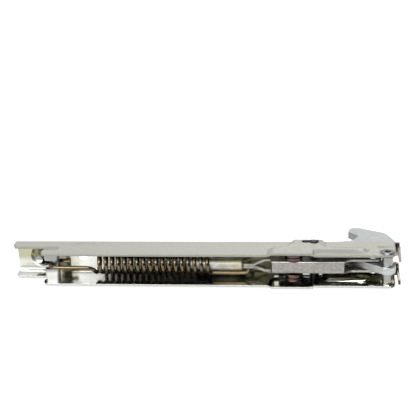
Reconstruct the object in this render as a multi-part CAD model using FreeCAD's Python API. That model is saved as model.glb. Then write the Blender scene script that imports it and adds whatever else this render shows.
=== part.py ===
import FreeCAD, Part
import math
import os

os.makedirs("parts", exist_ok=True)

# Driving sizes in mm. x runs along the channel, y from the open edge to the web, z across the width.
LENGTH = 215.0
WIDTH = 19.0
DEPTH = 21.0
SHEET = 1.2
BEND = 2.4
ARM_T = 4.2
CLAW_H = 38.3
SPRING_OD = 12.0
SPRING_WIRE = 2.3
SPRING_PITCH = 3.5
OPEN_DEG = 90.0

# Clearances in mm.
RUN = 0.05
GAP = 0.4

MID = WIDTH / 2
INNER = MID - SHEET
PX = LENGTH - 7.0
PY = 4.6
CRANK = (DEPTH - 1.0) / 2
QX = PX - CRANK * math.sin(math.radians(OPEN_DEG / 2))
QY = PY + CRANK * math.cos(math.radians(OPEN_DEG / 2))
TRAVEL = 2 * CRANK * math.sin(math.radians(OPEN_DEG / 2))
HOLE_X = 37.9
HOLE_R = 3.0
CONE_X = 13.6
SLOT_HALF = ARM_T / 2 + 0.9
CHEEK_IN = ARM_T / 2 + GAP
CHEEK_OUT = CHEEK_IN + SHEET
PANEL = 1.55
PANEL_FALL = 0.65
SLOPE = 2.1
KEY_X = PX - 39.1
KEY_Y = DEPTH - 4.9
KEY_R = 2.6
ROLL_X = KEY_X - 10.9
ROLL_R = 4.9
ROLL_Y = KEY_Y - KEY_R - ROLL_R - GAP
AXLE_R = 1.8
AXIS_Y = DEPTH - 11.4
COIL_R = (SPRING_OD - SPRING_WIRE) / 2
WIRE_R = SPRING_WIRE / 2
COIL_X0 = HOLE_X + 9.4
COIL_X1 = PX - 96.9
TURNS = round((COIL_X1 - COIL_X0) / SPRING_PITCH)
TONGUE_X = PX - 74.5
GUIDE_X0 = COIL_X1 - 10.0
GUIDE_X1 = COIL_X1 + 18.8
TANG = 1.8
TANG_X = GUIDE_X1 - PX - 3.5
LATCH_X = PX - 21.2
LATCH_Y = DEPTH + 8.5
LATCH_IN = ARM_T / 2 + 0.35
PIVOT_R = 2.5
SPACER_R = 2.95
LINK_R = 1.8
LINK_OUT = CHEEK_OUT + 0.15
LINK_HEAD = 1.0

V = FreeCAD.Vector


def rounded(points):
    """Closed face in the x-y plane from (x, y, corner radius)."""
    count = len(points)
    spans = []
    for i in range(count):
        a = V(points[i - 1][0], points[i - 1][1], 0)
        b = V(points[i][0], points[i][1], 0)
        c = V(points[(i + 1) % count][0], points[(i + 1) % count][1], 0)
        r = points[i][2]
        u = (a - b).normalize()
        w = (c - b).normalize()
        half = u.getAngle(w) / 2
        if r <= 0 or abs(half - math.pi / 2) < 1e-3:
            spans.append((b, None, b))
            continue
        reach = r / math.tan(half)
        centre = b + (u + w).normalize() * (r / math.sin(half))
        middle = centre + (b - centre).normalize() * r
        spans.append((b + u * reach, middle, b + w * reach))
    edges = []
    for i in range(count):
        start, middle, end = spans[i]
        if middle is not None:
            edges.append(Part.Arc(start, middle, end).toShape())
        follow = spans[(i + 1) % count][0]
        if (follow - end).Length > 1e-6:
            edges.append(Part.LineSegment(end, follow).toShape())
    return Part.Face(Part.Wire(edges))


def from_pivot(points):
    """Outline points whose x is measured from the arm's pivot."""
    return [(PX + x, y, r) for x, y, r in points]


def plate(points, z0, z1):
    face = rounded(points)
    face.translate(V(0, 0, z0))
    return face.extrude(V(0, 0, z1 - z0))


def box(x0, x1, y0, y1, z0, z1):
    return Part.makeBox(x1 - x0, y1 - y0, z1 - z0, V(x0, y0, z0))


def rod(x, y, z0, z1, r):
    return Part.makeCylinder(r, z1 - z0, V(x, y, z0), V(0, 0, 1))


def cone(x, y, z0, z1, r0, r1):
    return Part.makeCone(r0, r1, abs(z1 - z0), V(x, y, z0), V(0, 0, 1 if z1 > z0 else -1))


def both(shape):
    """The shape and its mirror image on the other flange."""
    return [shape, shape.mirror(V(0, 0, MID), V(0, 0, 1))]


def soften(shape, radius, keep):
    edges = [e for e in shape.Edges if keep(e)]
    return shape.makeFillet(radius, edges)


def middle(edge):
    return edge.valueAt((edge.FirstParameter + edge.LastParameter) / 2)


def shell_box(x0, x1, y0, y1, z0, z1, r):
    """Solid with the web bends along x and the end bend along z rounded."""
    body = box(x0, x1, y0, y1, z0, z1)

    def bend(e):
        m = middle(e)
        along_x = abs(m.y - y1) < 1e-6 and min(abs(m.z - z0), abs(m.z - z1)) < 1e-6
        along_z = abs(m.x - x1) < 1e-6 and abs(m.y - y1) < 1e-6
        return along_x or along_z

    return soften(body, r, bend)


def channel():
    outer = shell_box(0, LENGTH, 0, DEPTH, 0, WIDTH, BEND)
    inner = shell_box(-5, LENGTH - SHEET, -5, DEPTH - SHEET, SHEET, WIDTH - SHEET, BEND - SHEET)
    body = outer.cut(inner)

    # Stepped end with the open notch for the spring anchor.
    step = DEPTH - 10.5
    low = step - 4.1
    body = body.cut(plate([
        (-2, -2, 0), (20.9, -2, 0), (18.6, 3.0, 1.2), (18.6, low, 0.6), (27.2, low, 2.049),
        (27.2, step, 2.049), (0.0, step, 2.0), (0.0, step + 4, 0), (-2, step + 4, 0),
    ], -5, WIDTH + 5))
    nose = [(-2, step - 1, 0), (2.0, step - 1, 0), (0, step + 3, 1.5), (-2, step + 3, 0)]
    body = body.cut(plate(nose, -5, WIDTH + 5))

    # Round locating cone pressed in from the web side.
    cone_out = Part.makeCone(6.6, 2.0, 5.8, V(CONE_X, DEPTH - SHEET + 0.3, MID), V(0, -1, 0))
    cone_in = Part.makeCone(6.5, 1.0, 6.1, V(CONE_X, DEPTH + 0.6, MID), V(0, -1, 0))
    body = body.fuse(cone_out).cut(cone_in)
    body = body.cut(Part.makeCylinder(HOLE_R, 10, V(HOLE_X, DEPTH - 5, MID), V(0, 1, 0)))

    # Lanced holes and the pressed bridge in the web.
    for lance in both(box(PX - 61.5, PX - 59.1, DEPTH - 4, DEPTH + 2, MID + 2.1, MID + 5.3)):
        body = body.cut(lance)
    bridge = box(PX - 46.8, PX - 41.9, DEPTH - 0.3, DEPTH + 0.8, MID - 5.3, MID + 5.3)
    bridge = soften(bridge, 0.6, lambda e: abs(middle(e).y - DEPTH - 0.8) < 1e-6)
    recess = box(PX - 45.9, PX - 42.8, DEPTH - SHEET - 0.5, DEPTH - 0.3, MID - 4.4, MID + 4.4)
    body = body.fuse(bridge).cut(recess)

    # Slot for the arm, through the web, the end bend and the end plate.
    slot = plate([
        (PX - 37.4, -SLOT_HALF, 1.2), (LENGTH + 2, -SLOT_HALF, 0), (LENGTH + 2, SLOT_HALF, 0),
        (PX - 37.4, SLOT_HALF, 1.2),
    ], -DEPTH - 2, 2)
    slot.rotate(V(0, 0, 0), V(1, 0, 0), 90)
    slot.translate(V(0, 0, MID))
    body = body.cut(slot)
    wide = LINK_OUT + LINK_HEAD + GAP
    body = body.cut(box(LENGTH - BEND - 1.2, LENGTH + 2, -2, DEPTH - 2.4, MID - wide, MID + wide))

    # End plate: shorter than the flanges and clear of them at the corners.
    body = body.cut(box(LENGTH - SHEET - 0.5, LENGTH + 2, -2, 1.2, -5, WIDTH + 5))
    for relief in both(box(LENGTH - 2.6, LENGTH + 2, -2, DEPTH - 3.4, -2, SHEET + 0.5)):
        body = body.cut(relief)

    # Rounded flange corner round the pivot.
    end = LENGTH - 2.6
    corner = plate([
        (end - 6, -3, 0), (end + 4, -3, 0), (end + 4, 7, 0), (end, 7, 0), (end, 0, 4.4), (end - 6, 0, 0),
    ], -5, SHEET + 0.45)
    for cut in both(corner):
        body = body.cut(cut)

    # Raised panel with its finger, pressed outward from each flange.
    top = DEPTH - 2.4
    outline = rounded(from_pivot([
        (-62.2, -6, 0), (-61.3, 8.3, 3), (-50.9, 11.9, 5), (-48.9, top + 6, 0), (-35.2, top + 6, 0),
        (-35.2, 12.2, 3.2), (-32.1, 8.3, 3.2), (-12.1, 8.3, 1.4), (-12.1, 5.4, 1.4), (-40.9, 5.4, 2.6),
        (-41.2, -6, 0),
    ]))
    foot = outline.makeOffset2D(SLOPE, 0, False, False).OuterWire
    foot.translate(V(0, 0, -PANEL))
    crest = turned(outline.OuterWire, V(PX, top, 0), V(1, 0, 0), math.degrees(math.atan2(PANEL_FALL, top)))
    swell = Part.makeLoft([foot, crest], True, True)
    swell = swell.common(box(PX - 80, PX, 0, top + 0.6, -PANEL, 1))
    pad = swell.copy()
    pad.translate(V(0, 0, WIDTH + PANEL))
    hollow = swell.copy()
    hollow.translate(V(0, 0, WIDTH + PANEL - SHEET))
    slit = box(PX - 51.7, PX - 32.5, top, top + 1.1, MID + INNER - 0.5, WIDTH + 3)
    keyhole = rod(KEY_X, KEY_Y, MID, WIDTH + 5, KEY_R + RUN)
    keyhole = keyhole.fuse(rod(KEY_X - 5, KEY_Y, MID, WIDTH + 5, 1.6))
    keyhole = keyhole.fuse(box(KEY_X - 5, KEY_X, KEY_Y - 1.6, KEY_Y + 1.6, MID, WIDTH + 5))
    groove = plate(from_pivot([(-4.8, 11.0, 0.9), (2.6, 11.0, 0.9), (2.6, 12.8, 0.9), (-4.8, 12.8, 0.9)]),
                   WIDTH - 0.3, WIDTH + 2)
    bump = cone(PX, PY, WIDTH - SHEET + 0.1, WIDTH - SHEET - 0.7, 4.4, 3.8)
    dish = cone(PX, PY, WIDTH + 0.1, WIDTH - 0.7, 4.3, 3.5)
    hole = rod(PX, PY, MID, WIDTH + 5, PIVOT_R + RUN)
    for add in (pad, bump):
        for shape in both(add):
            body = body.fuse(shape)
    for cut in (hollow, slit, keyhole, groove, dish, hole):
        for shape in both(cut):
            body = body.cut(shape)
    return body


def anchor_bar():
    r = 1.95
    y = DEPTH - 10.5 - 2.05

    def bar(x0, z0, z1):
        c = r - 0.001
        return plate([(x0, y - r, c), (27.1, y - r, c), (27.1, y + r, c), (x0, y + r, c)], z0, z1)

    return bar(18.6, 0, MID - 2.6).fuse(bar(23.0, MID - 2.6, MID + 2.6)).fuse(bar(18.6, MID + 2.6, WIDTH))


def turned(shape, centre, axis, degrees):
    moved = shape.copy()
    moved.rotate(centre, axis, degrees)
    return moved


def run_wire(ring, moves):
    """Faces of the wire's surface, section by section, and the ring it ends with."""
    faces = []
    for move in moves:
        if len(move) == 1:
            faces += ring.extrude(move[0]).Faces
            ring = ring.copy()
            ring.translate(move[0])
        else:
            faces += ring.revolve(*move).Faces
            ring = turned(ring, *move)
    return faces, ring


def spring():
    """One wire: hook round the bar, straight leg, coils, long leg, bend through the tongue."""
    bend_in = 4.6
    bend_out = 1.8
    pitch = (COIL_X1 - COIL_X0) / TURNS
    lead = math.atan2(pitch, 2 * math.pi * COIL_R)
    swing = 90.0 - math.degrees(lead)
    reach = 1 - math.sin(lead)
    turn0 = math.atan2(bend_in * reach, COIL_R) / (2 * math.pi)
    turn1 = TURNS + math.atan2(COIL_R, bend_out * reach) / (2 * math.pi)
    x0 = COIL_X0 + pitch * turn0
    x1 = COIL_X0 + pitch * turn1
    along = V(1, 0, 0)

    def on_coil(x, turn):
        """Place on the coil, the way round there, and the way outward from the axis."""
        a = 2 * math.pi * turn
        out = V(0, -math.cos(a), -math.sin(a))
        return V(x, AXIS_Y, MID) + out * COIL_R, V(0, math.sin(a), -math.cos(a)), out

    # The coil in equal steps of about a quarter turn.
    start, way, out = on_coil(x0, turn0)
    tangent = along * math.sin(lead) + way * math.cos(lead)
    steps = 4 * TURNS + 1
    step_x = (x1 - x0) / steps
    step_deg = 360.0 * (turn1 - turn0) / steps
    ring = Part.Circle(start, tangent, WIRE_R).toShape()
    helix = Part.makeHelix(pitch, step_x, COIL_R, 0, False)
    helix.rotate(V(0, 0, 0), V(0, 1, 0), 90)
    begin = helix.Vertexes[0].Point
    here = math.degrees(math.atan2(begin.z, begin.y))
    there = math.degrees(math.atan2(out.z, out.y))
    helix.rotate(V(0, 0, 0), along, there - here)
    helix.translate(V(x0, AXIS_Y, MID))
    one = Part.Wire(helix.Edges).makePipeShell([Part.Wire(ring)], False, True)
    axis = V(x0, AXIS_Y, MID)
    hand = 1 if (one.BoundBox.Center - start).dot(way) > 0 and along.cross(out).dot(way) > 0 else -1
    faces = []
    for i in range(steps):
        part = turned(one, axis, along, hand * step_deg * i)
        part.translate(along * (step_x * i))
        faces += part.Faces
    last = turned(ring, axis, along, hand * step_deg * steps)
    last.translate(along * (x1 - x0))

    # From the coil back to the hook.
    normal = way * math.sin(lead) - along * math.cos(lead)
    centre = start + normal * bend_in
    foot = centre - way * bend_in
    hook_y = DEPTH - 12.55
    hook_r = hook_y - foot.y
    hook_x = 22.9 + hook_r - WIRE_R
    side = along.cross(way)
    tail, hook_end = run_wire(ring, [
        (centre, side, -swing), (V(hook_x - foot.x, 0, 0),),
        (V(hook_x, hook_y, MID), V(0, 0, 1), -180.0), (V(5.0, 0, 0),),
    ])

    # From the coil on to the tongue.
    end, way, out = on_coil(x1, turn1)
    normal = along * math.cos(lead) - way * math.sin(lead)
    centre = end + normal * bend_out
    foot = centre + way * bend_out
    side = way.cross(along)
    up_r = 3.4
    head, tongue_end = run_wire(last, [
        (centre, side, swing), (V(TONGUE_X - up_r - foot.x, 0, 0),),
        (V(TONGUE_X - up_r, AXIS_Y, foot.z + up_r), V(0, -1, 0), 90.0),
        (V(0, 0, MID + 1.8 - foot.z - up_r),),
    ])
    caps = [Part.Face(Part.Wire(hook_end)), Part.Face(Part.Wire(tongue_end))]
    shell = Part.Shell(Part.Compound(faces + tail + head + caps).Faces)
    shell.sewShape()
    solid = Part.Solid(shell)
    if solid.Volume < 0:
        solid.reverse()
    return solid


def spring_guide():
    """Plug in the coil's end, slotted for the link's tang."""
    body = Part.makeCylinder(COIL_R - WIRE_R - 0.3, GUIDE_X1 - GUIDE_X0, V(GUIDE_X0, AXIS_Y, MID), V(1, 0, 0))
    body = soften(body, 0.5, lambda e: isinstance(e.Curve, Part.Circle))
    thick = SHEET + 0.15
    wide = TANG + 0.15
    left = PX + TANG_X - 0.2
    return body.cut(box(left, GUIDE_X1 + 1, AXIS_Y - wide, AXIS_Y + wide, MID - thick, MID + thick))


def link():
    half = 0.1
    rise = CHEEK_IN
    reach = QX - PX + 4.2
    outline = from_pivot([
        (TANG_X, half, 0), (-71.0, half, 2.5), (-65.5, rise, 3.0), (reach, rise, 0), (reach, rise + SHEET, 0),
        (-66.0, rise + SHEET, 1.8), (-71.5, half + SHEET, 3.7), (TANG_X, half + SHEET, 0),
    ])
    strip = plate(outline, -DEPTH, 0)
    strip.rotate(V(0, 0, 0), V(1, 0, 0), 90)
    strip.translate(V(0, 0, MID))
    other = strip.mirror(V(0, 0, MID), V(0, 0, 1))
    clear = PY + SPACER_R + 0.3
    low = AXIS_Y - 2.7
    prong = AXIS_Y - 1.6
    high = AXIS_Y + 3.2
    face = ROLL_Y - 3.4
    back = ROLL_Y + 4.0
    root = GUIDE_X1 - PX + 0.3
    side = plate(from_pivot([
        (TANG_X, AXIS_Y - TANG, 0.6), (root, AXIS_Y - TANG, 0), (root, low, 1.0), (-72.0, low, 2),
        (-69.5, prong, 2), (-62.6, prong, 0.6), (-61.9, face, 0.3), (-22.8, face, 0.5),
        (-21.6, face + 1.4, 0.5), (-19.3, clear, 2), (reach - 3.5, clear, 0), (reach, clear, 2.0),
        (reach, QY + 6.4, 3.0), (-13.5, QY + 6.4, 3.0), (-19.0, back, 4), (-66.0, back, 4), (-71.0, high, 3),
        (root, high, 1.0), (root, AXIS_Y + TANG, 0), (TANG_X, AXIS_Y + TANG, 0.6),
    ]), -2, WIDTH + 2)
    body = strip.fuse(other)
    body = body.common(side)
    front = box(PX - 61.7, PX - 22.8, face, face + SHEET, MID - CHEEK_OUT, MID + CHEEK_OUT)
    body = body.fuse(front).removeSplitter()

    # The folded corners of the box.
    envelope = box(PX - 88, PX + reach + 5, face, DEPTH, MID - CHEEK_OUT, MID + CHEEK_OUT)

    def fold(e):
        m = middle(e)
        return abs(m.y - face) < 1e-6 and abs(abs(m.z - MID) - CHEEK_OUT) < 1e-6

    body = body.common(soften(envelope, 1.1, fold))
    slot_half = LINK_R + 0.26 * CRANK / 9 + 0.2
    low = QY - LINK_R - 0.25
    high = PY + CRANK + LINK_R + 0.25
    eye = plate([
        (QX - slot_half, low, 1.9), (QX + slot_half, low, 1.9), (QX + slot_half, high, 1.9),
        (QX - slot_half, high, 1.9),
    ], -2, WIDTH + 2)
    body = body.cut(eye)
    body = body.cut(rod(ROLL_X, ROLL_Y, -2, WIDTH + 2, AXLE_R))
    return body.cut(rod(TONGUE_X, AXIS_Y, -2, WIDTH + 2, WIRE_R + 0.35))


def roller(z0, z1):
    body = rod(ROLL_X, ROLL_Y, z0, z1, ROLL_R)
    body = soften(body, 0.35, lambda e: isinstance(e.Curve, Part.Circle))
    mid = (z0 + z1) / 2
    ring = rod(ROLL_X, ROLL_Y, mid - 0.35, mid + 0.35, ROLL_R + 1)
    ring = ring.cut(rod(ROLL_X, ROLL_Y, mid - 1, mid + 1, ROLL_R - 0.8))
    return body.cut(ring).cut(rod(ROLL_X, ROLL_Y, z0 - 1, z1 + 1, AXLE_R + RUN))


def guide_pin():
    body = rod(KEY_X, KEY_Y, 0.5 - PANEL, WIDTH + PANEL - 0.5, KEY_R)
    for tip in both(rod(KEY_X, KEY_Y, WIDTH, WIDTH + PANEL + 0.4, 1.85)):
        body = body.fuse(tip)
    return soften(body, 0.3, lambda e: abs(abs(middle(e).z - MID) - MID - PANEL - 0.4) < 1e-6)


def pivot_rivet():
    floor = WIDTH - 0.7
    body = rod(PX, PY, WIDTH - floor, floor, PIVOT_R)
    head = rod(PX, PY, floor, floor + 1.3, 3.3)
    head = soften(head, 0.8, lambda e: isinstance(e.Curve, Part.Circle) and middle(e).z > floor + 1.29)
    for shape in both(head):
        body = body.fuse(shape)
    return body.cut(cone(PX, PY, floor + 1.31, floor - 1.2, 1.7, 1.3))


def spacer(z0, z1):
    return rod(PX, PY, z0, z1, SPACER_R).cut(rod(PX, PY, z0 - 1, z1 + 1, PIVOT_R + RUN))


def hook_arm():
    d = DEPTH
    k = CLAW_H / 38.3
    points = from_pivot([
        (-20.2, d + 31.9 * k, 0.7), (-20.0, d + 35.4 * k, 1.5), (-17.8, d + 38.5 * k, 2.0),
        (-13.4, d + 38.2 * k, 3.0),
        (1.2, d + 30.0 * k, 7.0), (6.9, d + 15.1, 0.5), (4.8, d + 14.1, 0.4), (5.0, d + 12.5, 0.5),
        (8.6, d + 10.5, 1.3), (8.4, d + 6.1, 1.7), (-3.5, d + 6.0, 8.0), (-11.2, d + 4.0, 5.0),
        (-15.4, d - 1.0, 4.0), (2.2, PY + 3.8, 0), (0, PY, 0), (-3.0, PY - 3.2, 0), (-19.0, d - 7.2, 12.0),
        (-26.2, d - 1.2, 3.0), (-26.2, LATCH_Y, 0), (LATCH_X - PX - 1.8, d + 11.6, 1.0),
        (-18.8, d + 18.8, 0.3), (-17.8, d + 19.2, 0.3), (-14.4, d + 25.8, 2.4),
    ])
    z0 = MID - ARM_T / 2
    z1 = MID + ARM_T / 2
    body = plate(points, z0, z1)
    body = body.fuse(rod(PX, PY, z0, z1, 4.4)).fuse(rod(LATCH_X, LATCH_Y, z0, z1, 6.4))
    body = body.removeSplitter()
    body = soften(body, 0.3, lambda e: abs(abs(middle(e).z - MID) - ARM_T / 2) < 1e-6)
    body = body.cut(rod(PX, PY, z0 - 1, z1 + 1, PIVOT_R + RUN))
    body = body.cut(rod(QX, QY, z0 - 1, z1 + 1, LINK_R))
    return body.cut(rod(LATCH_X, LATCH_Y, z0 - 1, z1 + 1, 2.0))


def rivet(x, y, shank, half, head_r, head_h):
    body = rod(x, y, MID - half, MID + half, shank)
    head = rod(x, y, MID + half, MID + half + head_h, head_r)
    top = MID + half + head_h
    head = soften(head, head_h * 0.6, lambda e: isinstance(e.Curve, Part.Circle) and middle(e).z > top - 1e-6)
    for shape in both(head):
        body = body.fuse(shape)
    return body


def latch():
    d = DEPTH
    x, y = LATCH_X, LATCH_Y
    z_in = LATCH_IN
    z_out = LATCH_IN + SHEET
    lx = x - PX
    solid = plate(from_pivot([
        (-40.0, d + 1.0, 1.6), (-33.4, d + 1.0, 0.8), (-32.4, d + 4.3, 1.8), (-27.0, d + 4.3, 2.0),
        (lx - 2.4, y - 5.5, 2.0), (lx + 5.5, y - 5.5, 5.4), (lx + 5.5, y + 5.5, 5.4),
        (lx - 4.0, y + 5.5, 4.0), (-29.1, d + 12.9, 2.0), (-40.0, d + 11.2, 1.2),
    ]), MID - z_out, MID + z_out)
    roof = plate(from_pivot([
        (-48.0, d + 8.8, 0), (-40.0, d + 10.0, 0), (-29.1, d + 11.7, 0), (-29.1, d + 16, 0),
        (-48.0, d + 16, 0),
    ]), MID - z_in, MID + z_in)
    core = box(PX - 58, PX - 8, d - 5, d + 30, MID - z_in, MID + z_in).cut(roof)
    body = solid.cut(core)

    def fold(e):
        m = middle(e)
        outer = abs(abs(m.z - MID) - z_out) < 1e-6
        return outer and -38.5 < m.x - PX < -30.5 and m.y > d + 10.5

    body = soften(body, 0.9, fold)
    return body.cut(rod(x, y, -5, WIDTH + 5, 2.0 + RUN))


nodes = {
    "channel": channel(),
    "anchor_bar": anchor_bar(),
    "spring": spring(),
    "spring_guide": spring_guide(),
    "link": link(),
    "roller_axle": rod(ROLL_X, ROLL_Y, MID - INNER + 0.4, MID + INNER - 0.4, AXLE_R),
    "roller_lower": roller(MID - INNER + 0.4, MID - CHEEK_OUT - 0.3),
    "roller_upper": roller(MID + CHEEK_OUT + 0.3, MID + INNER - 0.4),
    "guide_pin": guide_pin(),
    "pivot_rivet": pivot_rivet(),
    "spacer_lower": spacer(SHEET + 0.7 + RUN, MID - ARM_T / 2 - RUN),
    "spacer_upper": spacer(MID + ARM_T / 2 + RUN, WIDTH - SHEET - 0.7 - RUN),
    "hook_arm": hook_arm(),
    "link_rivet": rivet(QX, QY, LINK_R, LINK_OUT, 3.2, LINK_HEAD),
    "latch": latch(),
    "latch_rivet": rivet(LATCH_X, LATCH_Y, 2.0, LATCH_IN + SHEET + RUN, 3.3, 1.1),
}

# The origin is the middle of the fixing hole, on the wall's middle plane.
for name, shape in nodes.items():
    shape.translate(V(-HOLE_X, -(DEPTH - SHEET / 2), -MID))
    shape.exportStep("parts/" + name + ".step")
    print(name, shape.isValid(), len(shape.Solids), round(shape.Volume, 1))
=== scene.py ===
"""Looks of an oven door hinge: zinc-plated sheet and plate, a bronzed wire spring, and a white stage."""

import math

import bpy
from mathutils import Matrix, Vector


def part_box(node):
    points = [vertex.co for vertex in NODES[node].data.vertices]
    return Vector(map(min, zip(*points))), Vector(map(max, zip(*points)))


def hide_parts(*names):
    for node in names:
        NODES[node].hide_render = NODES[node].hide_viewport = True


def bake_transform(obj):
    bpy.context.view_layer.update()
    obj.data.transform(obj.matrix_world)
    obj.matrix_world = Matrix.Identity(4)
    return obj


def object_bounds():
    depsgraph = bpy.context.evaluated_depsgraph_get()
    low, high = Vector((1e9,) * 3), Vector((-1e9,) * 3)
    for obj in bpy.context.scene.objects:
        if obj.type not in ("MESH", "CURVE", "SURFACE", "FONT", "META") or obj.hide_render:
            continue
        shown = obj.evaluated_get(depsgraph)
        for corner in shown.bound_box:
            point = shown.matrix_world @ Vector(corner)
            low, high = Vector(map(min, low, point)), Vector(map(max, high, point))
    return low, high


bl_info = {
    "name": "Oven door hinge",
    "version": (1, 0, 0),
    "blender": (4, 5, 0),
    "location": "View3D > Sidebar > Hinge",
    "description": "Finishes and stage of an oven door hinge with an open spring channel",
    "category": "Object",
}

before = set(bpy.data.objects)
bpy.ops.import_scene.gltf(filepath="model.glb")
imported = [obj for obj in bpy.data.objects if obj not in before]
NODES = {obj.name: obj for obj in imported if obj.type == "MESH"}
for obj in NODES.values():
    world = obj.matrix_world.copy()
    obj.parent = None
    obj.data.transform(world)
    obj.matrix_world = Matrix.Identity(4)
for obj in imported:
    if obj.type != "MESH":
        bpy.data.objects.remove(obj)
CAD_LOW, CAD_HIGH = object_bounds()

MM = 0.001
IMAGE_PX = 415
SENSOR_MM = 36.0
MERGE = 0.001 * MM
SMOOTH_ANGLE = math.radians(35)
NOISE_LOW, NOISE_HIGH = 0.3, 0.7

# Places in the shared frame, whose origin is the middle of the fixing hole in the web.
MIDDLE_Y = -9.9 * MM
EDGE_Y = -5 * MM
RIM_Y = -19.9 * MM
CLAW_Y = 12 * MM
CONE_X = -24.3 * MM
CONE_FLAT_R = 2.05 * MM
PLATE_HALF = 2.1 * MM
PIN_TIP = 0.8 * MM
# Width of the painted shade along the flanges' pressed edges.
EDGE_SHADE_WIDTH = 1.6 * MM
LENGTH_FADE = (-30 * MM, 110 * MM)

# Limits on the parts of a face's normal, and on height times its upward part for the inner sides.
LOOKS_OUT = -0.4
CUT_EDGE = -0.6
FLANGE = 0.5
INNER_SIDE = -0.5 * MM

# The first is the painted shade of the pocket at the panel end; the second is the pin's own black.
POCKET_SHADE_BLACK = (0.05, 0.05, 0.05)
PIN_BLACK = (0.02, 0.02, 0.022)

# Stage.
FLOOR_GAP = 0.1 * MM
FLOOR_FADE = (0.0, 0.12)
LAMP_OFFSET = Vector((-0.1, 0.15, 1.2))


class HingeFinish(bpy.types.PropertyGroup):
    """Colours and gloss of the hinge's metals."""

    zinc_outside: bpy.props.FloatVectorProperty(
        name="Zinc outside", description="Satin zinc on the outside of the channel",
        subtype="COLOR", default=(0.52, 0.515, 0.46), min=0, max=1)
    zinc_inside: bpy.props.FloatVectorProperty(
        name="Zinc inside", description="Bright zinc on the inside of the channel",
        subtype="COLOR", default=(0.68, 0.685, 0.66), min=0, max=1)
    zinc_tint: bpy.props.FloatVectorProperty(
        name="Zinc tint", description="Yellow-green bloom on the bright zinc",
        subtype="COLOR", default=(0.62, 0.61, 0.42), min=0, max=1)
    link_grey: bpy.props.FloatVectorProperty(
        name="Link grey", description="Satin grey of the folded link",
        subtype="COLOR", default=(0.32, 0.31, 0.285), min=0, max=1)
    blue_zinc: bpy.props.FloatVectorProperty(
        name="Blue zinc", description="Bluish plating of the arm, the latch and the rivets",
        subtype="COLOR", default=(0.52, 0.54, 0.535), min=0, max=1)
    wire_bronze: bpy.props.FloatVectorProperty(
        name="Wire bronze", description="Brown spring wire",
        subtype="COLOR", default=(0.15, 0.114, 0.068), min=0, max=1)
    guide_silver: bpy.props.FloatVectorProperty(
        name="Guide silver", description="Cool end of the spring guide's plating",
        subtype="COLOR", default=(0.46, 0.47, 0.49), min=0, max=1)
    guide_straw: bpy.props.FloatVectorProperty(
        name="Guide straw", description="Warm end of the spring guide's plating",
        subtype="COLOR", default=(0.52, 0.48, 0.33), min=0, max=1)
    dark_steel: bpy.props.FloatVectorProperty(
        name="Dark steel", description="Oiled rollers and guide pin",
        subtype="COLOR", default=(0.108, 0.072, 0.066), min=0, max=1)
    satin: bpy.props.FloatProperty(
        name="Satin roughness", description="Roughness of the outside plating",
        subtype="FACTOR", default=0.40, min=0, max=1)
    bright: bpy.props.FloatProperty(
        name="Bright roughness", description="Roughness of the inside plating",
        subtype="FACTOR", default=0.13, min=0, max=1)


class HingeStage(bpy.types.PropertyGroup):
    """Camera, lamp and floor round the hinge."""

    elevation: bpy.props.FloatProperty(
        name="Elevation", description="Height of the camera above the horizon",
        subtype="ANGLE", default=math.radians(23.1))
    yaw: bpy.props.FloatProperty(
        name="Yaw", description="Turn of the camera towards the hook end",
        subtype="ANGLE", default=math.radians(8.0))
    roll: bpy.props.FloatProperty(
        name="Roll", description="Turn of the camera about its own line of sight",
        subtype="ANGLE", default=math.radians(-2.86))
    distance: bpy.props.FloatProperty(
        name="Distance", description="From the camera to the middle of the channel",
        unit="LENGTH", default=0.5583, min=0.1)
    lens: bpy.props.FloatProperty(
        name="Lens", description="Focal length on a 36 mm sensor, in millimetres",
        default=87.6, min=10)
    middle_px: bpy.props.FloatVectorProperty(
        name="Middle in the image",
        description="Where the channel's middle lies, in pixels from the top left",
        size=2, default=(202.3, 263.3))
    floor_size: bpy.props.FloatProperty(
        name="Floor size", description="Side of the square floor", unit="LENGTH", default=8.0, min=1)
    lamp_size: bpy.props.FloatProperty(
        name="Lamp size", description="Side of the soft lamp overhead", unit="LENGTH", default=1.6, min=0.1)
    lamp_power: bpy.props.FloatProperty(
        name="Lamp power", description="Power of the soft lamp", unit="POWER", default=8.5, min=0)
    floor_white: bpy.props.FloatProperty(
        name="Floor white", description="Glow of the floor as the camera sees it", default=0.86, min=0)
    floor_mirrored: bpy.props.FloatProperty(
        name="Floor mirrored", description="Glow of the floor in front, as the metal mirrors it",
        default=0.8, min=0)
    floor_behind: bpy.props.FloatProperty(
        name="Floor behind", description="Glow of the floor behind, as the metal mirrors it",
        default=0.25, min=0)
    room_light: bpy.props.FloatProperty(
        name="Room light", description="Brightness of the dim room in front", default=0.015, min=0)
    backdrop_light: bpy.props.FloatProperty(
        name="Backdrop light", description="Brightness of the backdrop behind", default=0.98, min=0)
    card_light: bpy.props.FloatProperty(
        name="Card light", description="Brightness of the white card at the front left", default=1.7, min=0)
    strip_light: bpy.props.FloatProperty(
        name="Strip light", description="Brightness of the narrow strip in front", default=0.45, min=0)
    softbox_light: bpy.props.FloatProperty(
        name="Softbox light", description="Brightness of the softbox above the camera", default=9.5, min=0)


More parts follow.
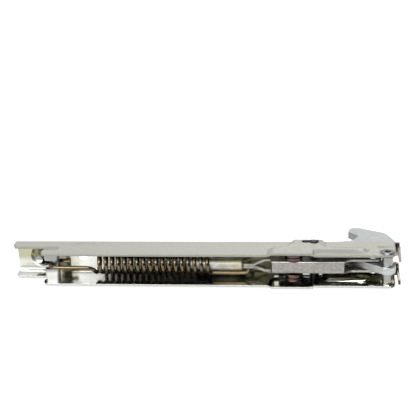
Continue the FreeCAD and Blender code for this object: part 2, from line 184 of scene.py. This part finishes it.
class Tree:
    """Node tree of one material, with short calls for the nodes that the finishes share."""

    def __init__(self, name):
        self.material = bpy.data.materials.new(name)
        self.material.use_nodes = True
        self.nodes = self.material.node_tree.nodes
        self.links = self.material.node_tree.links
        self.shader = self.nodes["Principled BSDF"]
        coords = self.nodes.new("ShaderNodeTexCoord")
        self.place = coords.outputs["Object"]
        self.facing = coords.outputs["Normal"]
        self.along, self.across, self.up = self.axes(self.place)
        self.face_x, self.face_y, self.face_z = self.axes(self.facing)

    def link(self, source, target):
        self.links.new(source, target)

    def axes(self, vector):
        node = self.nodes.new("ShaderNodeSeparateXYZ")
        self.link(vector, node.inputs["Vector"])
        return node.outputs["X"], node.outputs["Y"], node.outputs["Z"]

    def math(self, operation, first, second=None):
        node = self.nodes.new("ShaderNodeMath")
        node.operation = operation
        for socket, value in zip(node.inputs, (first, second)):
            if isinstance(value, bpy.types.NodeSocket):
                self.link(value, socket)
            elif value is not None:
                socket.default_value = value
        return node.outputs["Value"]

    def above(self, value, limit):
        return self.math("GREATER_THAN", value, limit)

    def below(self, value, limit):
        return self.math("LESS_THAN", value, limit)

    def size(self, value):
        return self.math("ABSOLUTE", value)

    def both(self, *masks):
        """Product of the masks."""
        product = masks[0]
        for mask in masks[1:]:
            product = self.math("MULTIPLY", product, mask)
        return product

    def either(self, first, second):
        return self.math("MAXIMUM", first, second)

    def noise(self, size, detail, stretch=(1, 1, 1)):
        """Cloudy pattern whose blotches are about size metres across."""
        mapping = self.nodes.new("ShaderNodeMapping")
        mapping.inputs["Scale"].default_value = [s / size for s in stretch]
        self.link(self.place, mapping.inputs["Vector"])
        node = self.nodes.new("ShaderNodeTexNoise")
        node.inputs["Scale"].default_value = 1.0
        node.inputs["Detail"].default_value = detail
        self.link(mapping.outputs["Vector"], node.inputs["Vector"])
        return node.outputs["Fac"]

    def span(self, value, low, high, start=NOISE_LOW, stop=NOISE_HIGH):
        """The value from start to stop, mapped to low to high."""
        node = self.nodes.new("ShaderNodeMapRange")
        self.link(value, node.inputs["Value"])
        for name, number in (("From Min", start), ("From Max", stop)):
            node.inputs[name].default_value = number
        for name, target in (("To Min", low), ("To Max", high)):
            if isinstance(target, bpy.types.NodeSocket):
                self.link(target, node.inputs[name])
            else:
                node.inputs[name].default_value = target
        return node.outputs["Result"]

    def rise(self, value, start, stop):
        return self.span(value, 0.0, 1.0, start, stop)

    def fall(self, value, start, stop):
        return self.span(value, 1.0, 0.0, start, stop)

    def mix(self, factor, first, second, blend="MIX"):
        node = self.nodes.new("ShaderNodeMix")
        node.data_type = "RGBA"
        node.blend_type = blend
        for socket, value in ((node.inputs[0], factor), (node.inputs[6], first), (node.inputs[7], second)):
            if isinstance(value, bpy.types.NodeSocket):
                self.link(value, socket)
            elif isinstance(value, float):
                socket.default_value = value
            else:
                socket.default_value = (*value, 1)
        return node.outputs[2]

    def mottled(self, pattern, colour, dark, light):
        """The colour, between dark and light times itself in the blotches of the pattern."""
        return self.mix(self.span(pattern, 0.0, 1.0), scaled(colour, dark), scaled(colour, light))

    def marked(self, colour, marks):
        """The colour with marks laid over it in turn, each a mask, a base colour and its factor."""
        for mask, base, factor in marks:
            colour = self.mix(mask, colour, scaled(base, factor))
        return colour

    def rounded(self, radius):
        """Normal of the surface with its edges rounded."""
        node = self.nodes.new("ShaderNodeBevel")
        node.inputs["Radius"].default_value = radius
        return node.outputs["Normal"]

    def edges(self, radius):
        """One along the edges, falling to zero at about that distance from them."""
        node = self.nodes.new("ShaderNodeVectorMath")
        node.operation = "DOT_PRODUCT"
        self.link(self.rounded(radius), node.inputs[0])
        self.link(self.facing, node.inputs[1])
        return self.fall(node.outputs["Value"], 0.975, 0.997)

    def relief(self, height, depth, edge=0.0):
        """Bump of that depth in metres, over edges softened by the given radius."""
        node = self.nodes.new("ShaderNodeBump")
        node.inputs["Strength"].default_value = 1.0
        node.inputs["Distance"].default_value = depth
        self.link(height, node.inputs["Height"])
        if edge:
            self.link(self.rounded(edge), node.inputs["Normal"])
        self.link(node.outputs["Normal"], self.shader.inputs["Normal"])

    def metal(self, colour, roughness):
        """Metal of that colour; the roughness is a number or a socket."""
        self.shader.inputs["Metallic"].default_value = 1.0
        self.link(colour, self.shader.inputs["Base Color"])
        if isinstance(roughness, bpy.types.NodeSocket):
            self.link(roughness, self.shader.inputs["Roughness"])
        else:
            self.shader.inputs["Roughness"].default_value = roughness


def scaled(colour, factor):
    return tuple(min(1.0, c * factor) for c in colour)


def upper_edge(tree):
    """One on the upper half of the channel, clear of the web."""
    return tree.both(tree.above(tree.up, 0.0), tree.below(tree.across, EDGE_Y))


def inside_mask(tree):
    """One on the inner sides and on what looks to the open side, apart from the upper flange's edge."""
    inner_side = tree.below(tree.both(tree.up, tree.face_z), INNER_SIDE)
    lower = tree.math("SUBTRACT", 1.0, upper_edge(tree))
    return tree.either(inner_side, tree.both(tree.below(tree.face_y, LOOKS_OUT), lower))


def outside_zinc(tree, finish, mottle):
    """Mottled satin zinc with a faint bluish smudge, darker towards the left end, with painted shade on the
    flanges' slopes, along their pressed edges and on the upper flange's cut edge.
    """
    colour = tree.mottled(mottle, finish.zinc_outside, 0.86, 1.06)
    colour = tree.mix(1.0, colour, tree.span(tree.along, 0.90, 1.03, *LENGTH_FADE), "MULTIPLY")
    flange = tree.above(tree.size(tree.face_z), FLANGE)
    # Painted shade: the colour is darkened on flange slopes facing back or left, more on those facing front,
    # along the pressed edges and on the upper flange's cut edge.
    back_slope_shade = tree.rise(tree.face_y, 0.06, 0.34)
    left_slope_shade = tree.fall(tree.face_x, -0.40, -0.08)
    front_slope_shade = tree.fall(tree.face_y, -0.40, -0.08)
    blotches = tree.rise(tree.noise(2.2 * MM, 4.0, (0.6, 1, 1)), 0.50, 0.62)
    smudge = tree.both(
        flange, blotches, tree.rise(tree.across, -8 * MM, -4 * MM),
        tree.rise(tree.along, -16 * MM, 2 * MM), tree.fall(tree.along, 6 * MM, 20 * MM))
    cut = tree.both(upper_edge(tree), tree.below(tree.face_y, CUT_EDGE))
    return tree.marked(colour, (
        (tree.both(flange, tree.either(back_slope_shade, left_slope_shade)), finish.zinc_outside, 0.78),
        (tree.both(flange, front_slope_shade), finish.zinc_outside, 0.5),
        (tree.both(flange, tree.edges(EDGE_SHADE_WIDTH)), finish.zinc_outside, 0.6),
        (smudge, finish.blue_zinc, 0.62),
        (cut, finish.zinc_outside, 0.6),
    ))


def inside_zinc(tree, finish):
    """Bright zinc with a faint bloom, with painted shade at the open end's upper part, round the cone, under
    the coil, on the panel's side walls, in the dishes, on the foot and the rim, on the web at the hinge end
    and in the pocket at the panel end, and painted light by the fixing hole and on the cone's flat tip.
    """
    bloom = tree.noise(16 * MM, 2.0, (0.6, 1, 1))
    colour = tree.mix(tree.span(bloom, 0.0, 0.75, 0.45, 0.7), finish.zinc_inside, finish.zinc_tint)
    along, across, up = tree.along, tree.across, tree.up
    web = tree.below(tree.face_y, LOOKS_OUT)
    beside = tree.math("SUBTRACT", along, CONE_X)
    radius = tree.math("SQRT", tree.math("ADD", tree.both(beside, beside), tree.both(up, up)))
    # Painted shade: the upper part of the inside at the open end is darker than the lit part below it.
    open_end_shade = tree.both(tree.fall(along, -24 * MM, -16 * MM), tree.rise(up, -3 * MM, 0.0))
    # Painted reflection: the inside is brightened around the fixing hole.
    hole_reflection = tree.both(tree.rise(along, -6 * MM, -2 * MM), tree.fall(along, 20 * MM, 30 * MM))
    # Painted shade round the lower part of the cone, and a painted highlight on its flat tip.
    cone = tree.both(tree.fall(radius, 5.6 * MM, 6.6 * MM), tree.fall(up, 0.5 * MM, 2 * MM))
    cone_flat_highlight = tree.below(radius, CONE_FLAT_R)
    # Painted shade: the lower flange under the coil is darkened where it mirrors the coil's shaded
    # underside.
    shade_under_coil = tree.both(
        tree.rise(along, 10 * MM, 18 * MM), tree.fall(along, 74 * MM, 84 * MM),
        tree.above(tree.face_z, FLANGE))
    # Painted shade on the side walls of the pressed panel at the hinge end.
    panel_wall_shade = tree.both(tree.above(along, 80 * MM), tree.above(tree.size(tree.face_x), 0.2))
    # Painted shade on the sloped walls of the dishes.
    dish = tree.both(tree.above(along, 162 * MM), tree.below(tree.size(tree.face_z), 0.985))
    # Painted shade: the foot and the open rim of the web are a little darker.
    foot = tree.both(tree.below(along, -18 * MM), tree.below(up, -6 * MM))
    rim = tree.both(tree.below(across, RIM_Y), web)
    # Painted shade on the web at the hinge end.
    web_end_shade = tree.both(tree.rise(along, 84 * MM, 90 * MM), web, tree.above(across, -3 * MM))
    # Painted shade: near-black on the inner faces next to the web at the panel end, where the pocket lies in
    # shade.
    pocket_shade = tree.both(
        tree.above(tree.size(up), 6 * MM), tree.above(along, 115 * MM), tree.above(across, -4 * MM))
    return tree.marked(colour, (
        (open_end_shade, finish.zinc_tint, 0.72),
        (hole_reflection, finish.zinc_inside, 1.22),
        (cone, finish.zinc_tint, 0.08),
        (cone_flat_highlight, finish.zinc_inside, 1.1),
        (shade_under_coil, finish.blue_zinc, 0.55),
        (panel_wall_shade, finish.zinc_tint, 0.3),
        (dish, finish.zinc_tint, 0.14),
        (tree.either(foot, rim), finish.zinc_inside, 0.8),
        (web_end_shade, finish.zinc_tint, 0.45),
        (pocket_shade, POCKET_SHADE_BLACK, 1.0),
    ))


def channel_zinc(finish):
    """Satin outside with a fine mottle; bright inside with a faint yellow-green bloom."""
    tree = Tree("channel_zinc")
    inside = inside_mask(tree)
    mottle = tree.noise(1.6 * MM, 5.0)
    colour = tree.mix(inside, outside_zinc(tree, finish, mottle), inside_zinc(tree, finish))
    satin = tree.span(mottle, finish.satin - 0.06, finish.satin + 0.06)
    tree.metal(colour, tree.span(inside, satin, finish.bright, 0.0, 1.0))
    grain = tree.noise(0.7 * MM, 2.0)
    tree.relief(tree.span(inside, grain, 0.5, 0.0, 1.0), 0.012 * MM, 0.25 * MM)
    return tree.material


def satin_metal(name, colour, rough, grain, depth, spread=0.08, edge=0.2 * MM):
    """Plain plated metal with a slight mottle and grain."""
    tree = Tree(name)
    mottle = tree.noise(grain, 3.0)
    tree.metal(tree.mottled(mottle, colour, 1 - spread, 1 + spread),
               tree.span(mottle, rough - 0.05, rough + 0.05))
    tree.relief(tree.noise(grain / 3, 2.0), depth, edge)
    return tree.material


def anchor_zinc(finish):
    """Bright zinc with painted shade, darker and bluish, on the upper half of the anchor bar."""
    tree = Tree("anchor_zinc")
    # Painted shade: the bar's upper half is darkened and tinted bluish.
    top_shade = tree.rise(tree.up, -5 * MM, -3 * MM)
    tree.metal(tree.mix(top_shade, finish.zinc_inside, scaled(finish.blue_zinc, 0.62)), 0.28)
    tree.relief(tree.noise(1 * MM, 2.0), 0.01 * MM, 0.2 * MM)
    return tree.material


def sheared_plate(finish):
    """Blue zinc on thick plate, with fine lines along its sheared edges and a shaded hook mouth."""
    tree = Tree("sheared_plate")
    mottle = tree.noise(3 * MM, 3.0)
    lines = tree.noise(0.35 * MM, 2.0, (0.12, 0.12, 1))
    sheared = tree.below(tree.size(tree.up), PLATE_HALF)
    mouth = tree.both(sheared, tree.fall(tree.face_x, -0.7, -0.1), tree.above(tree.across, CLAW_Y))
    face = tree.mottled(mottle, finish.blue_zinc, 0.92, 1.06)
    streaks = tree.mottled(lines, finish.blue_zinc, 0.68, 1.12)
    streaks = tree.marked(streaks, ((mouth, finish.blue_zinc, 0.55),))
    tree.metal(tree.mix(sheared, face, streaks), tree.span(mottle, finish.satin - 0.07, finish.satin + 0.05))
    grain = tree.noise(0.9 * MM, 2.0)
    tree.relief(tree.span(sheared, grain, lines, 0.0, 1.0), 0.02 * MM, 0.25 * MM)
    return tree.material


def guide_plating(finish):
    """Silver plating, cloudy, that turns straw-coloured towards the link."""
    tree = Tree("guide_plating")
    low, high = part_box("spring_guide")
    drift = tree.math("ADD", tree.along, tree.both(tree.noise(5 * MM, 2.0), 12 * MM))
    warm = tree.rise(drift, low.x + 12 * MM, high.x + 8 * MM)
    plating = tree.mix(warm, finish.guide_silver, finish.guide_straw)
    clouds = tree.span(tree.noise(4 * MM, 3.0), 0.72, 1.12, 0.35, 0.65)
    tree.metal(tree.mix(1.0, plating, clouds, "MULTIPLY"), 0.5)
    tree.relief(tree.noise(1 * MM, 2.0), 0.008 * MM, 0.2 * MM)
    return tree.material


def pin_steel(finish):
    """Black pin with two lighter riveted tips."""
    tree = Tree("pin_steel")
    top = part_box("guide_pin")[1].z
    tip = tree.above(tree.size(tree.up), top - PIN_TIP)
    tree.metal(tree.mix(tip, PIN_BLACK, scaled(finish.blue_zinc, 0.14)), 0.4)
    return tree.material


def dress(names, material):
    """Gives CAD nodes their finish, and leaves their meshes as they are."""
    for name in names:
        node = NODES[name]
        node.data.materials.clear()
        node.data.materials.append(material)


def select_only(piece):
    bpy.ops.object.select_all(action="DESELECT")
    piece.select_set(True)
    bpy.context.view_layer.objects.active = piece


class HINGE_OT_channel(bpy.types.Operator):
    """Finish the folded channel and the anchor bar in its notches"""

    bl_idname = "hinge.channel"
    bl_label = "Channel and anchor bar"

    def execute(self, context):
        finish = context.scene.hinge_finish
        dress(["channel"], channel_zinc(finish))
        dress(["anchor_bar"], anchor_zinc(finish))
        return {"FINISHED"}


class HINGE_OT_spring(bpy.types.Operator):
    """Make the wire spring, which stretches between the anchor bar and the link"""

    bl_idname = "hinge.spring"
    bl_label = "Spring"

    def execute(self, context):
        finish = context.scene.hinge_finish
        wire = bpy.data.objects.new("spring_wire", NODES["spring"].data.copy())
        context.scene.collection.objects.link(wire)
        select_only(wire)
        bpy.ops.object.mode_set(mode="EDIT")
        bpy.ops.mesh.select_all(action="SELECT")
        bpy.ops.mesh.remove_doubles(threshold=MERGE)
        bpy.ops.mesh.customdata_custom_splitnormals_clear()
        bpy.ops.object.mode_set(mode="OBJECT")
        bpy.ops.object.shade_smooth_by_angle(angle=SMOOTH_ANGLE)
        wire.data.materials.clear()
        wire.data.materials.append(
            satin_metal("wire_bronze", finish.wire_bronze, 0.19, 1.5 * MM, 0.003 * MM, 0.14, 0.0))
        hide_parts("spring")
        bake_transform(wire)
        return {"FINISHED"}


class HINGE_OT_guide(bpy.types.Operator):
    """Finish the spring guide inside the coil's end"""

    bl_idname = "hinge.guide"
    bl_label = "Spring guide"

    def execute(self, context):
        dress(["spring_guide"], guide_plating(context.scene.hinge_finish))
        return {"FINISHED"}


class HINGE_OT_link(bpy.types.Operator):
    """Finish the folded link that pulls the arm"""

    bl_idname = "hinge.link"
    bl_label = "Link"

    def execute(self, context):
        finish = context.scene.hinge_finish
        dress(["link"], satin_metal("link_zinc", finish.link_grey, 0.36, 1.6 * MM, 0.02 * MM, 0.22))
        return {"FINISHED"}


class HINGE_OT_rollers(bpy.types.Operator):
    """Finish the rollers, their axle and the guide pin"""

    bl_idname = "hinge.rollers"
    bl_label = "Rollers and guide pin"

    def execute(self, context):
        finish = context.scene.hinge_finish
        steel = satin_metal("oiled_steel", finish.dark_steel, 0.24, 2 * MM, 0.008 * MM, 0.15)
        dress(["roller_lower", "roller_upper", "roller_axle"], steel)
        dress(["guide_pin"], pin_steel(finish))
        return {"FINISHED"}


class HINGE_OT_pivot(bpy.types.Operator):
    """Finish the pivot rivet and its spacers"""

    bl_idname = "hinge.pivot"
    bl_label = "Pivot rivet and spacers"

    def execute(self, context):
        finish = context.scene.hinge_finish
        tube = scaled(finish.zinc_inside, 0.48)
        head = scaled(finish.blue_zinc, 0.5)
        dress(["spacer_lower", "spacer_upper"], satin_metal("bright_zinc", tube, 0.24, 2 * MM, 0.008 * MM))
        dress(["pivot_rivet"], satin_metal("pivot_zinc", head, 0.3, 1.2 * MM, 0.02 * MM, 0.2))
        return {"FINISHED"}


class HINGE_OT_arm(bpy.types.Operator):
    """Finish the hooked arm and the rivet that joins it to the link"""

    bl_idname = "hinge.arm"
    bl_label = "Hook arm"

    def execute(self, context):
        finish = context.scene.hinge_finish
        dress(["hook_arm"], sheared_plate(finish))
        dress(["link_rivet"], satin_metal("rivet_zinc", finish.blue_zinc, 0.30, 2 * MM, 0.008 * MM))
        return {"FINISHED"}


class HINGE_OT_latch(bpy.types.Operator):
    """Finish the folded latch and its rivet"""

    bl_idname = "hinge.latch"
    bl_label = "Latch"

    def execute(self, context):
        finish = context.scene.hinge_finish
        head = scaled(finish.blue_zinc, 1.1)
        dress(["latch"], satin_metal("latch_zinc", finish.blue_zinc, 0.36, 2.4 * MM, 0.012 * MM))
        dress(["latch_rivet"], satin_metal("latch_rivet_zinc", head, 0.3, 2 * MM, 0.008 * MM))
        return {"FINISHED"}


def white_floor(stage):
    """Floor that keeps a soft shadow, shows white to the camera and dims behind the hinge in the metal."""
    tree = Tree("white_floor")
    shader = tree.shader
    shader.inputs["Base Color"].default_value = (0.3, 0.3, 0.3, 1)
    shader.inputs["Roughness"].default_value = 1.0
    shader.inputs["Specular IOR Level"].default_value = 0.0
    shader.inputs["Emission Color"].default_value = (1, 1, 1, 1)
    path = tree.nodes.new("ShaderNodeLightPath")
    mirrored = tree.span(tree.across, stage.floor_mirrored, stage.floor_behind, *FLOOR_FADE)
    in_metal = tree.both(path.outputs["Is Glossy Ray"], mirrored)
    to_camera = tree.both(path.outputs["Is Camera Ray"], stage.floor_white)
    tree.link(tree.either(in_metal, to_camera), shader.inputs["Emission Strength"])
    return tree.material


def studio_world(scene, stage):
    """White backdrop behind, a dim room with reflectors in front, and white where the camera sees it."""
    world = bpy.data.worlds.new("studio")
    world.use_nodes = True
    scene.world = world
    nodes = world.node_tree.nodes
    links = world.node_tree.links
    room = nodes["Background"]
    place = nodes.new("ShaderNodeTexCoord")
    axes = nodes.new("ShaderNodeSeparateXYZ")
    links.new(place.outputs["Generated"], axes.inputs["Vector"])

    def ramp(name, low, high, start, stop):
        node = nodes.new("ShaderNodeMapRange")
        node.interpolation_type = "SMOOTHSTEP"
        for socket, number in (("From Min", start), ("From Max", stop), ("To Min", low), ("To Max", high)):
            node.inputs[socket].default_value = number
        links.new(axes.outputs[name], node.inputs["Value"])
        return node.outputs["Result"]

    def join(operation, first, *others):
        joined = first
        for other in others:
            node = nodes.new("ShaderNodeMath")
            node.operation = operation
            links.new(joined, node.inputs[0])
            links.new(other, node.inputs[1])
            joined = node.outputs["Value"]
        return joined

    backdrop = ramp("Y", stage.room_light, stage.backdrop_light, -0.55, 0.75)
    front = ramp("Y", 1.0, 0.0, -0.5, -0.2)
    side_card = join("MULTIPLY", front, ramp("X", stage.card_light, 0.0, -0.232, -0.210))
    strip = join("MULTIPLY", front, ramp("X", 0.0, stage.strip_light, -0.125, -0.09),
                 ramp("X", 1.0, 0.0, -0.075, -0.05))
    softbox = join("MULTIPLY", front, ramp("X", 1.0, 0.0, 0.25, 0.40),
                   ramp("Z", 0.0, stage.softbox_light, 0.50, 0.60), ramp("Z", 1.0, 0.0, 0.74, 0.84))
    links.new(join("ADD", backdrop, side_card, strip, softbox), room.inputs["Strength"])
    room.inputs["Color"].default_value = (1, 1, 1, 1)
    white = nodes.new("ShaderNodeBackground")
    white.inputs["Color"].default_value = (1, 1, 1, 1)
    white.inputs["Strength"].default_value = 1.0
    path = nodes.new("ShaderNodeLightPath")
    mix = nodes.new("ShaderNodeMixShader")
    links.new(path.outputs["Is Camera Ray"], mix.inputs["Fac"])
    links.new(room.outputs["Background"], mix.inputs[1])
    links.new(white.outputs["Background"], mix.inputs[2])
    links.new(mix.outputs["Shader"], nodes["World Output"].inputs["Surface"])


class HINGE_OT_stage(bpy.types.Operator):
    """Set the white floor, the soft lamp, the room and the camera"""

    bl_idname = "hinge.stage"
    bl_label = "Stage"

    def execute(self, context):
        scene = context.scene
        stage = scene.hinge_stage
        bpy.ops.object.select_all(action="DESELECT")
        bpy.ops.mesh.primitive_plane_add(size=stage.floor_size, location=(0, 0, CAD_LOW.z - FLOOR_GAP))
        floor = context.object
        floor.name = "floor"
        floor.data.materials.append(white_floor(stage))
        studio_world(scene, stage)

        low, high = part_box("channel")
        middle = Vector(((low.x + high.x) / 2, MIDDLE_Y, 0))
        bpy.ops.object.light_add(type="AREA", location=middle + LAMP_OFFSET)
        lamp = context.object
        lamp.data.shape = "SQUARE"
        lamp.data.size = stage.lamp_size
        lamp.data.energy = stage.lamp_power

        towards = Vector((math.sin(stage.yaw) * math.cos(stage.elevation),
                          -math.cos(stage.yaw) * math.cos(stage.elevation), math.sin(stage.elevation)))
        bpy.ops.object.camera_add(location=middle + towards * stage.distance)
        camera = context.object
        facing = (-towards).to_track_quat("-Z", "Y").to_matrix()
        camera.rotation_euler = (facing @ Matrix.Rotation(stage.roll, 3, "Z")).to_euler()
        camera.data.sensor_width = SENSOR_MM
        camera.data.lens = stage.lens
        camera.data.shift_x = 0.5 - stage.middle_px[0] / IMAGE_PX
        camera.data.shift_y = stage.middle_px[1] / IMAGE_PX - 0.5
        scene.camera = camera
        scene.view_settings.view_transform = "Standard"
        return {"FINISHED"}


PIECES = (
    HINGE_OT_channel, HINGE_OT_spring, HINGE_OT_guide, HINGE_OT_link, HINGE_OT_rollers,
    HINGE_OT_pivot, HINGE_OT_arm, HINGE_OT_latch, HINGE_OT_stage,
)


class HINGE_PT_panel(bpy.types.Panel):
    """Steps that dress the hinge, in order"""

    bl_idname = "HINGE_PT_panel"
    bl_label = "Oven door hinge"
    bl_space_type = "VIEW_3D"
    bl_region_type = "UI"
    bl_category = "Hinge"

    def draw(self, context):
        for settings in (context.scene.hinge_finish, context.scene.hinge_stage):
            box = self.layout.box()
            for name in settings.__annotations__:
                box.prop(settings, name)
        for step in PIECES:
            self.layout.operator(step.bl_idname)


CLASSES = (HingeFinish, HingeStage, *PIECES, HINGE_PT_panel)


def register():
    for cls in CLASSES:
        bpy.utils.register_class(cls)
    bpy.types.Scene.hinge_finish = bpy.props.PointerProperty(type=HingeFinish)
    bpy.types.Scene.hinge_stage = bpy.props.PointerProperty(type=HingeStage)


def unregister():
    del bpy.types.Scene.hinge_stage
    del bpy.types.Scene.hinge_finish
    for cls in reversed(CLASSES):
        bpy.utils.unregister_class(cls)


def main():
    register()
    bpy.ops.hinge.channel()
    bpy.ops.hinge.spring()
    bpy.ops.hinge.guide()
    bpy.ops.hinge.link()
    bpy.ops.hinge.rollers()
    bpy.ops.hinge.pivot()
    bpy.ops.hinge.arm()
    bpy.ops.hinge.latch()
    bpy.ops.hinge.stage()


if __name__ == "__main__":
    main()
